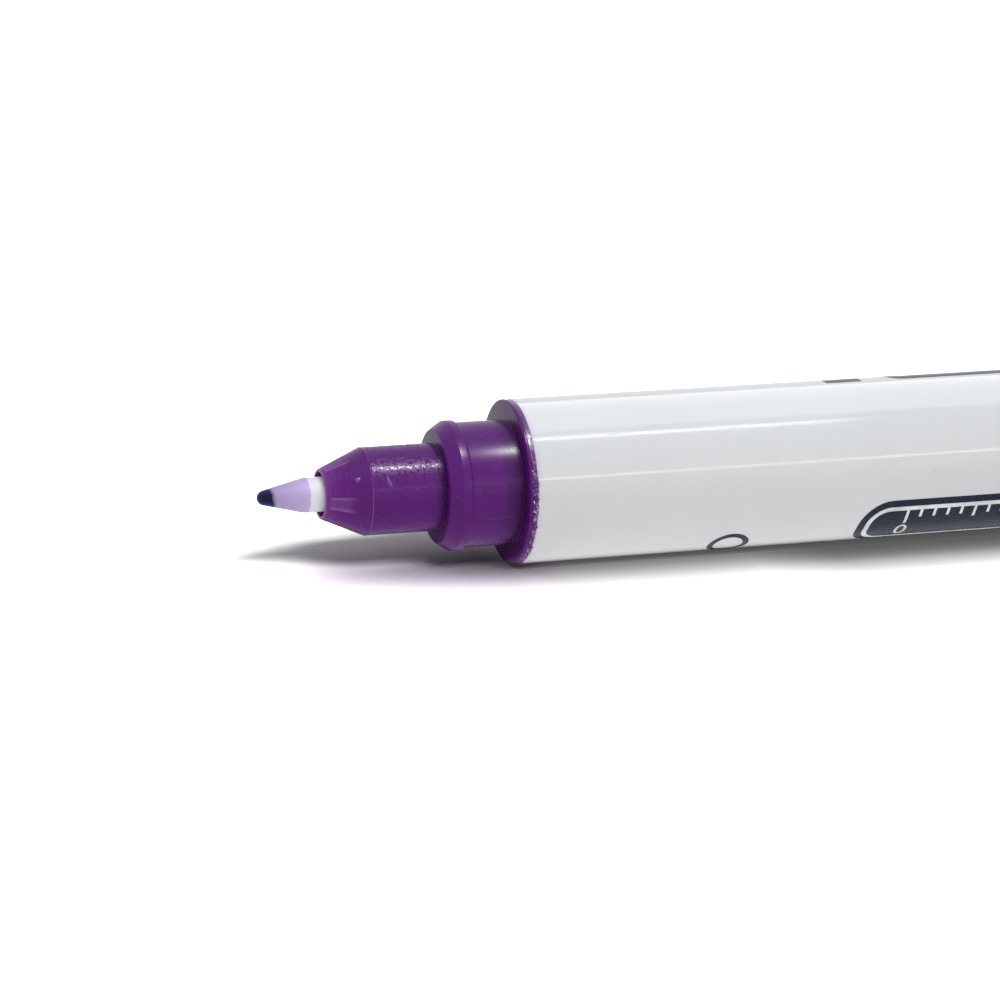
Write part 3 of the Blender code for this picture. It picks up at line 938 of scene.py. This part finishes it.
def tip_holder(settings, nib_radius, cone, marks=()):
    """Moulded plug: fluted cone, nose, snap collar, flange, and the vented sleeve that grips the nib."""
    sizes = settings.holder
    nose_end = -(sizes.collar + sizes.nose)
    mouth = nose_end - cone
    mouth_radius = nib_radius + sizes.mouth_gap
    lip_radius = mouth_radius + sizes.lip
    skirt_end = sizes.flange + sizes.skirt
    sleeve_end = skirt_end - sizes.sleeve_set_back
    bore = nib_radius + sizes.nib_fit
    sleeve = bore + sizes.sleeve_wall
    hollow = sizes.collar_radius - sizes.wall
    floor = mouth + sizes.mouth_depth
    radius = settings.barrel.radius
    groove = radius - settings.barrel.groove
    outline = [
        (mouth, lip_radius, 0.00005),
        (nose_end - sizes.ridge_width / 2, sizes.nose_radius, 0.0),
        (nose_end, sizes.nose_radius + sizes.ridge, 0.00001),
        (nose_end + sizes.ridge_width / 2, sizes.nose_radius, 0.0),
        (-sizes.collar, sizes.nose_radius, 0.00004),
        *reversed(snap_collar(sizes, 0.0, -sizes.collar)),
        (0.0, radius, 0.00012),
        (settings.barrel.flash_start, radius, 0.00004),
        (settings.barrel.flash_start, groove, 0.0),
        (sizes.flange, groove, 0.0),
        (sizes.flange, sizes.skirt_radius, 0.0),
        (skirt_end - sizes.chamfer, sizes.skirt_radius, 0.0001),
        (skirt_end, sizes.skirt_radius - sizes.chamfer, 0.0),
        (skirt_end, hollow, 0.0001),
        (sizes.wall - sizes.collar, hollow, 0.0002),
        (sizes.wall - sizes.collar, sleeve, 0.0002),
        (sleeve_end, sleeve, 0.0001),
        (sleeve_end, bore, 0.0),
        (floor, bore, 0.0),
        (floor, mouth_radius, 0.0001),
        (mouth, mouth_radius, 0.00006),
    ]
    shape = turned(outline, HOLDER_STEPS, even_steps(mouth, -sizes.collar, HOLDER_STRIDE))
    # The layer pale holds painted highlights on the flutes' sides, the raised marks and the ridge
    pale = shape.verts.layers.float.new("pale")
    cut_vents(shape, sizes, bore)
    press_flutes(shape, pale, sizes, mouth, nose_end, lip_radius)
    raise_marks(shape, pale, sizes, marks)
    rub_ridge(shape, pale, sizes, nose_end)
    return shape


def cut_vents(shape, sizes, bore):
    """Deepens the nib's bore in a few straight air channels."""
    half = sizes.vent_width / bore / 2
    for vertex in shape.verts:
        turn, radius = around(vertex)
        if abs(radius - bore) < MERGE_DISTANCE and off_nearest(turn, sizes.vents, 0.0) < half:
            set_radius(vertex, bore + sizes.vent_depth)


def press_flutes(shape, pale, sizes, mouth, nose_end, lip_radius):
    """Presses shallow flutes with steep sides into the front of the cone, with highlights painted pale along
    those sides.
    """
    for vertex in shape.verts:
        turn, radius = around(vertex)
        share = (vertex.co.x - mouth) / (nose_end - mouth)
        cone_radius = lip_radius + (sizes.nose_radius - lip_radius) * share
        inside = sizes.flute_half - off_nearest(turn, sizes.flutes, sizes.flute_turn)
        if FLUTE_START < share < FLUTE_END and radius > cone_radius - 0.00005 and inside > 0.0:
            ends = min(1.0, (share - FLUTE_START) / FLUTE_FADE_IN, (FLUTE_END - share) / FLUTE_FADE_OUT)
            set_radius(vertex, radius - sizes.flute_depth * ends * min(1.0, inside / sizes.flute_wall))
            band = max(0.0, 1.0 - abs(inside - sizes.flute_edge / 2) / sizes.flute_edge)
            vertex[pale] = ends * (FLUTE_PALE + FLUTE_EDGE_PALE * band)


def raise_marks(shape, pale, sizes, marks):
    """Raises small oval marks, with a painted pale highlight, on the outside of the nose and cone."""
    for vertex in shape.verts:
        turn, radius = around(vertex)
        if radius < sizes.nose_radius * 0.8:
            continue
        for x, middle, half_length, half_width, rise in marks:
            along = (vertex.co.x - x) / half_length
            round_by = (turn - math.radians(middle)) * radius / half_width
            off = along * along + round_by * round_by
            if off < 1.0:
                set_radius(vertex, radius + rise * (1.0 - off))
                vertex[pale] = EDGE_PALE * (1.0 - off)


def rub_ridge(shape, pale, sizes, nose_end):
    """Paints a pale highlight on the ridge between cone and nose, most of all on the front."""
    for vertex in shape.verts:
        turn, radius = around(vertex)
        if abs(vertex.co.x - nose_end) < sizes.ridge_width / 3 and radius > sizes.nose_radius:
            vertex[pale] = EDGE_PALE * max(0.0, math.cos(turn - sizes.flute_turn)) ** 2


def nib_rod(settings, end, tip_rounding):
    """Nib of the fine or broad end: a rod with a ground point and a rounded tip."""
    sizes = ("radius", "cone", "shoulder", "point", "tip")
    radius, cone, shoulder_out, point, tip = (getattr(settings.nib, f"{end}_{size}") for size in sizes)
    holder = settings.holder
    chamfer = settings.nib.chamfer
    shoulder = -(holder.collar + holder.nose + cone + shoulder_out)
    inner_end = holder.flange + holder.skirt + settings.nib.feed
    return turned(
        [
            (shoulder - point, 0.0, 0.0),
            (shoulder - point, tip, tip * tip_rounding),
            (shoulder, radius, 0.00015),
            (inner_end - chamfer, radius, 0.0001),
            (inner_end, radius - chamfer, 0.0),
            (inner_end, 0.0, 0.0),
        ]
    )


def cap_shell(settings):
    """Flush shell with a stepped tail that repeats the holder's collar, and the moulding gate's dimple."""
    sizes = settings.cap
    radius = settings.barrel.radius
    end = sizes.body + settings.holder.collar
    floor = end - sizes.end_wall
    return turned(
        [
            (floor, 0.0, 0.0),
            (floor, sizes.tail_bore, 0.0003),
            (sizes.bore_end, sizes.tail_bore, 0.0001),
            (sizes.bore_end, sizes.bore_radius, 0.0002),
            (0.0, sizes.bore_radius, sizes.mouth_edge),
            (0.0, radius, sizes.mouth_edge),
            (sizes.body, radius, sizes.shoulder_edge),
            *snap_collar(settings.holder, sizes.body, end),
            (end, sizes.gate_radius * 1.5, 0.00008),
            (end - sizes.gate_depth, sizes.gate_radius, 0.00008),
            (end - sizes.gate_depth, 0.0, 0.0),
        ]
    )


def cap_liner(sizes):
    """Milky cup inside the shell that closes round the nose."""
    return turned(
        [
            (sizes.liner_floor, 0.0, 0.0),
            (sizes.liner_floor, sizes.liner_bore, 0.0003),
            (sizes.liner_mouth + sizes.liner_lead, sizes.liner_bore, 0.00015),
            (sizes.liner_mouth, sizes.liner_bore + sizes.liner_lead, 0.00015),
            (sizes.liner_mouth, sizes.liner_radius, 0.0001),
            (sizes.liner_end, sizes.liner_radius, 0.0002),
            (sizes.liner_end, 0.0, 0.0),
        ]
    )


# Print


def add_plate(shape, start, end, top, bottom, rounding=0.0):
    """A flat bar in X and Y, with rounded corners if asked."""
    corners = (start, bottom), (end, bottom), (end, top), (start, top)
    points = [shape.verts.new((x, y, 0.0)) for x, y in corners]
    shape.faces.new(points)
    if rounding > 0.0:
        round_off(shape, points, rounding, CORNER_STEPS)


def add_disc(shape, x, radius):
    """A flat disc in X and Y."""
    place = Matrix.Translation((x, 0.0, 0.0))
    bmesh.ops.create_circle(shape, cap_ends=True, segments=CIRCLE_STEPS, radius=radius, matrix=place)


def hollow_out(shape, line):
    """Leaves only a line along the edge of a shape's one face."""
    bmesh.ops.inset_region(shape, faces=shape.faces[:], thickness=line, use_boundary=True)
    middle = max(shape.faces, key=lambda face: face.calc_area())
    bmesh.ops.delete(shape, geom=[middle], context="FACES")


def add_numeral(shape, text, height, x, y):
    """A plain numeral, its middle at x and y."""
    curve = bpy.data.curves.new("numeral", "FONT")
    curve.body = text
    curve.size = height
    curve.align_x = "CENTER"
    curve.align_y = "CENTER"
    writer = bpy.data.objects.new("numeral", curve)
    mesh = bpy.data.meshes.new_from_object(writer)
    mesh.transform(Matrix.Translation((x, y, 0.0)))
    shape.from_mesh(mesh)
    bpy.data.objects.remove(writer)
    bpy.data.curves.remove(curve)
    bpy.data.meshes.remove(mesh)


def print_round(shape, settings, top, coat=0):
    """Gives flat ink its thickness and wraps it round the barrel: Y = 0 comes to lie at the angle top."""
    sizes = settings.print
    radius = settings.barrel.radius
    bmesh.ops.remove_doubles(shape, verts=shape.verts[:], dist=MERGE_DISTANCE)
    heights = [vertex.co.y for vertex in shape.verts]
    cut_across(shape, Vector((0.0, 1.0, 0.0)), even_steps(min(heights), max(heights), PRINT_STRIDE))
    raised = bmesh.ops.extrude_face_region(shape, geom=shape.faces[:])["geom"]
    raised_points = [item for item in raised if isinstance(item, bmesh.types.BMVert)]
    bmesh.ops.translate(shape, vec=(0.0, 0.0, sizes.ink), verts=raised_points)
    for vertex in shape.verts:
        turn = top - vertex.co.y / radius
        out = radius + sizes.lift + coat * (sizes.ink + sizes.lift) + vertex.co.z
        vertex.co.y = -out * math.cos(turn)
        vertex.co.z = -out * math.sin(turn)
    bmesh.ops.recalc_face_normals(shape, faces=shape.faces[:])
    return shape


def ruler_end(sizes):
    """Where the ruler's bar ends."""
    return sizes.ruler_start + 2 * sizes.ruler_margin + sizes.ruler_units * sizes.ruler_unit


def ruler_bar(settings):
    """Navy bar that carries the ruler."""
    sizes = settings.print
    shape = bmesh.new()
    add_plate(shape, sizes.ruler_start, ruler_end(sizes), 0.0, -sizes.ruler_width, sizes.ruler_round)
    return print_round(shape, settings, sizes.ruler_top)


def ruler_marks(settings):
    """White line, ticks and numerals on the ruler's bar."""
    sizes = settings.print
    shape = bmesh.new()
    border = sizes.ruler_border
    low = border - sizes.ruler_width
    start, end = sizes.ruler_start + border, ruler_end(sizes) - border
    add_plate(shape, start, end, -border, low, sizes.ruler_round - border)
    hollow_out(shape, sizes.ruler_line)
    zero = sizes.ruler_start + sizes.ruler_margin
    top = -border - sizes.ruler_line
    half = sizes.tick_width / 2
    for step in range(10 * sizes.ruler_units + 1):
        tick = sizes.tick_middle if step % 5 == 0 else sizes.tick_short
        if step % 10 == 0:
            tick = sizes.tick_long
        x = zero + step * sizes.ruler_unit / 10
        add_plate(shape, x - half, x + half, top, top - tick)
    numeral_y = (top - sizes.tick_long + low + sizes.ruler_line) / 2
    for unit in range(sizes.ruler_units + 1):
        add_numeral(shape, str(unit), sizes.numeral, zero + unit * sizes.ruler_unit, numeral_y)
    return print_round(shape, settings, sizes.ruler_top, coat=1)


def end_marks(settings):
    """Open ring for the fine end and filled dot for the broad end."""
    sizes = settings.print
    shape = bmesh.new()
    add_disc(shape, sizes.mark_place, sizes.mark_radius)
    hollow_out(shape, sizes.mark_line)
    add_disc(shape, BARREL_LENGTH - sizes.mark_place, sizes.mark_radius)
    return print_round(shape, settings, sizes.mark_turn)


def writing_panel(settings):
    """Frame of the writing panel on the back, and the dash before it."""
    sizes = settings.print
    shape = bmesh.new()
    end = sizes.panel_start + sizes.panel_length
    add_plate(shape, sizes.panel_start, end, sizes.panel_width, 0.0, sizes.panel_round)
    hollow_out(shape, sizes.panel_line)
    add_plate(shape, sizes.dash_start, sizes.dash_start + sizes.dash_length, sizes.panel_line, 0.0)
    return print_round(shape, settings, -sizes.panel_front)


# Stage


def add_floor(settings):
    """A wide floor under the lowest line of the round barrel."""
    shape = bmesh.new()
    place = Matrix.Translation((0.0, 0.0, AXIS_HEIGHT - settings.barrel.radius))
    bmesh.ops.create_grid(shape, x_segments=1, y_segments=1, size=FLOOR_SIZE / 2, matrix=place)
    floor = add_object("floor", shape, floor_pale(settings))
    floor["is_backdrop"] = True
    return floor


def add_light(levels, name, target, turn, rise, distance, size_x, size_y):
    """A rectangular light that faces a target, hidden from the camera.

    It stands at an angle from +X about the vertical and at an angle above the floor, both in degrees.
    """
    light = bpy.data.lights.new(name, "AREA")
    light.shape = "RECTANGLE"
    light.size = size_x
    light.size_y = size_y
    light.energy = math.pi * size_x * size_y * getattr(levels, name)
    lamp = bpy.data.objects.new(name, light)
    spin, tilt = math.radians(turn), math.radians(rise)
    aside = distance * math.cos(tilt)
    rise_by = distance * math.sin(tilt)
    lamp.location = target + Vector((aside * math.cos(spin), aside * math.sin(spin), rise_by))
    lamp.rotation_euler = (target - lamp.location).to_track_quat("-Z", "Y").to_euler()
    lamp.visible_camera = False
    bpy.context.scene.collection.objects.link(lamp)
    return lamp


def link_light(lamp, state, things):
    """Keeps a light to some objects (INCLUDE) or off them (EXCLUDE)."""
    receivers = bpy.data.collections.new(lamp.name + "_receivers")
    for thing in things:
        receivers.objects.link(thing)
    for member in receivers.collection_objects:
        member.light_linking.link_state = state
    lamp.light_linking.receiver_collection = receivers


def add_lights(levels, floor):
    """Broad lights for the marker's colour, strips for its gloss, and two front windows for the floor."""
    over_marker = Vector((-0.04, 0.0, AXIS_HEIGHT))
    for name, tint, turn, rise in (
        ("overhead", levels.overhead_tint, FRONT, 80.0),
        ("front_fill", WHITE, FRONT, 15.0),
        ("back_fill", WHITE, BACK, 18.0),
    ):
        lamp = add_light(levels, name, over_marker, turn, rise, LIGHT_DISTANCE, *BROAD_LIGHT_SIZE)
        lamp.data.color = tint
        lamp.visible_glossy = False
        link_light(lamp, "EXCLUDE", [floor])
    barrel = bpy.data.objects["barrel_tube"]
    capped_end = [bpy.data.objects[name] for name in ("broad_holder", "broad_cap_body", "fine_cap_body")]
    for name, x, turn, rise, size_x, size_y, state, things in (
        ("strip", 0.054, FRONT, 68.9, 0.148, 0.042, "EXCLUDE", [floor]),
        ("tip_strip", 0.00, FRONT, 70.0, 0.15, 0.065, "EXCLUDE", [floor, barrel]),
        ("side_strip", 0.26, FRONT, 12.7, 0.60, 0.020, "EXCLUDE", [floor]),
        ("back_strip", 0.10, BACK, 66.0, 0.80, 0.66, "INCLUDE", [barrel]),
        ("cap_strip", 0.05, BACK, 84.0, 1.60, 0.06, "INCLUDE", capped_end),
    ):
        target = Vector((x, 0.0, AXIS_HEIGHT))
        lamp = add_light(levels, name, target, turn, rise, LIGHT_DISTANCE, size_x, size_y)
        lamp.visible_diffuse = False
        link_light(lamp, state, things)
    seat = Vector((FINE_SEAT, 0.0, 0.0))
    for name, turn, rise, size_x, size_y in (
        ("left_window", 274.0, 38.5, 0.34, 0.22),
        ("right_window", 286.0, 37.0, 0.34, 0.24),
    ):
        lamp = add_light(levels, name, seat, turn, rise, WINDOW_DISTANCE, size_x, size_y)
        link_light(lamp, "INCLUDE", [floor])


def add_walls(scene, levels):
    """Studio walls: white for the camera and in gloss, and for other light dimmer on the camera's side."""
    world = bpy.data.worlds.new("studio")
    world.use_nodes = True
    nodes = Nodes(world.node_tree)
    background = world.node_tree.nodes["Background"].inputs
    way = nodes.axes(nodes.add("TexCoord").outputs["Generated"])
    walls = nodes.fade(way["Y"], -0.7, 0.3, levels.world_front, levels.world_back)
    path = nodes.add("LightPath").outputs
    seen = nodes.math("MAXIMUM", path["Is Camera Ray"], path["Is Transmission Ray"])
    white = nodes.math("MAXIMUM", seen, path["Is Glossy Ray"])
    nodes.feed(background["Strength"], nodes.fade(white, 0.0, 1.0, walls, 1.0))
    nodes.feed(background["Color"], with_alpha(WHITE))
    scene.world = world


def add_camera(scene, levels):
    """The photograph's camera."""
    data = bpy.data.cameras.new("camera")
    data.lens = levels.lens
    data.sensor_width = 36.0
    data.clip_start = 0.01
    camera = bpy.data.objects.new("camera", data)
    camera.location = levels.camera_place
    camera.rotation_euler = levels.camera_turn
    scene.collection.objects.link(camera)
    scene.camera = camera


# Operators


class MarkerOperator:
    """What the marker's operators share"""

    bl_options = {"REGISTER", "UNDO"}


class SKINMARKER_OT_barrel(MarkerOperator, Operator):
    """Add the white barrel and the weld flash at its ends"""

    bl_idname = "skin_marker.barrel"
    bl_label = "Add Barrel"

    def execute(self, context):
        settings = context.scene.skin_marker
        tube, white = barrel_tube(settings.barrel), gloss_white(settings)
        add_piece("barrel_tube", tube, BARREL_PLACE, white, "marker", "barrel_white", "barrel")
        weld = weld_purple(settings)
        for name, place in (("fine_weld_flash", FINE_PLACE), ("broad_weld_flash", BROAD_PLACE)):
            add_piece(name, weld_flash(settings.barrel), place, weld, "marker", "holder_purple")
        return {"FINISHED"}


class SKINMARKER_OT_print(MarkerOperator, Operator):
    """Print the ruler, the end marks and the writing panel on the barrel"""

    bl_idname = "skin_marker.print"
    bl_label = "Add Print"

    def execute(self, context):
        settings = context.scene.skin_marker
        navy = print_ink("print_navy", settings.colours.print)
        white = print_ink("print_white", settings.colours.barrel)
        for name, shape, ink in (
            ("ruler_bar", ruler_bar(settings), navy),
            ("ruler_marks", ruler_marks(settings), white),
            ("end_marks", end_marks(settings), navy),
            ("writing_panel", writing_panel(settings), navy),
        ):
            add_piece(name, shape, BARREL_PLACE, ink, "marker", "barrel_white")
        return {"FINISHED"}


class SKINMARKER_OT_holders(MarkerOperator, Operator):
    """Add the purple tip holder at each end"""

    bl_idname = "skin_marker.holders"
    bl_label = "Add Tip Holders"

    def execute(self, context):
        settings = context.scene.skin_marker
        nib = settings.nib
        purple = holder_purple(settings)
        fine = tip_holder(settings, nib.fine_radius, nib.fine_cone, MOULD_MARKS)
        broad = tip_holder(settings, nib.broad_radius, nib.broad_cone)
        add_piece("fine_holder", fine, FINE_PLACE, purple, "marker", "holder_purple", "fine_tip_holder")
        add_piece("broad_holder", broad, BROAD_PLACE, purple, "marker", "holder_purple", "broad_tip_holder")
        return {"FINISHED"}


class SKINMARKER_OT_nibs(MarkerOperator, Operator):
    """Add the fine and the broad nib"""

    bl_idname = "skin_marker.nibs"
    bl_label = "Add Nibs"

    def execute(self, context):
        settings = context.scene.skin_marker
        fine, broad = nib_rod(settings, "fine", 0.99), nib_rod(settings, "broad", 0.9)
        plastic, felt = nib_plastic(settings), felt_ink(settings.colours)
        add_piece("fine_nib_rod", fine, FINE_PLACE, plastic, "marker", "nib_white", "fine_nib")
        add_piece("broad_nib_rod", broad, BROAD_PLACE, felt, "marker", "nib_felt", "broad_nib")
        return {"FINISHED"}


class SKINMARKER_OT_caps(MarkerOperator, Operator):
    """Add the shell and the liner of each cap"""

    bl_idname = "skin_marker.caps"
    bl_label = "Add Caps"

    def execute(self, context):
        settings = context.scene.skin_marker
        purple, milky = cap_purple(settings), liner_milky(settings.colours)
        for body, place in CAP_PLACES.items():
            shell, liner = cap_shell(settings), cap_liner(settings.cap)
            add_piece(body + "_body", shell, place, purple, body, "cap_purple", body + "_shell")
            add_piece(body + "_cup", liner, place, milky, body, "liner_natural", body + "_liner")
        return {"FINISHED"}


class SKINMARKER_OT_reservoir(MarkerOperator, Operator):
    """Give the reservoir and its film their finish"""

    bl_idname = "skin_marker.reservoir"
    bl_label = "Finish Reservoir"

    def execute(self, context):
        colours = context.scene.skin_marker.colours
        frame["nodes"]["ink_reservoir"].material_slots[0].material = reservoir_fibre(colours)
        frame["nodes"]["reservoir_film"].material_slots[0].material = reservoir_film(colours)
        return {"FINISHED"}


class SKINMARKER_OT_stage(MarkerOperator, Operator):
    """Add the floor, the lights, the studio's walls and the camera"""

    bl_idname = "skin_marker.stage"
    bl_label = "Add Stage"

    def execute(self, context):
        settings = context.scene.skin_marker
        add_lights(settings.stage, add_floor(settings))
        add_walls(context.scene, settings.stage)
        add_camera(context.scene, settings.stage)
        context.scene.view_settings.view_transform = "Standard"
        return {"FINISHED"}


PIECE_OPERATORS = (
    SKINMARKER_OT_barrel,
    SKINMARKER_OT_print,
    SKINMARKER_OT_holders,
    SKINMARKER_OT_nibs,
    SKINMARKER_OT_caps,
    SKINMARKER_OT_reservoir,
    SKINMARKER_OT_stage,
)


class SKINMARKER_PT_sidebar(Panel):
    """Lists the operators in the order in which they are run"""

    bl_idname = "SKINMARKER_PT_sidebar"
    bl_label = "Skin Marker"
    bl_space_type = "VIEW_3D"
    bl_region_type = "UI"
    bl_category = "Skin Marker"

    def draw(self, context):
        for operator in PIECE_OPERATORS:
            self.layout.operator(operator.bl_idname)


CLASSES = (
    BarrelSizes,
    HolderSizes,
    NibSizes,
    CapSizes,
    PrintSizes,
    MarkerColours,
    StageLevels,
    MarkerSettings,
    *PIECE_OPERATORS,
    SKINMARKER_PT_sidebar,
)


def register():
    for item in CLASSES:
        bpy.utils.register_class(item)
    bpy.types.Scene.skin_marker = PointerProperty(type=MarkerSettings)


def unregister():
    del bpy.types.Scene.skin_marker
    for item in reversed(CLASSES):
        bpy.utils.unregister_class(item)


def main():
    register()
    bpy.ops.skin_marker.barrel()
    bpy.ops.skin_marker.print()
    bpy.ops.skin_marker.holders()
    bpy.ops.skin_marker.nibs()
    bpy.ops.skin_marker.caps()
    bpy.ops.skin_marker.reservoir()
    bpy.ops.skin_marker.stage()
    boxes = {"cad": CAD_BOX, "visual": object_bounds()}


if __name__ == "__main__":
    main()
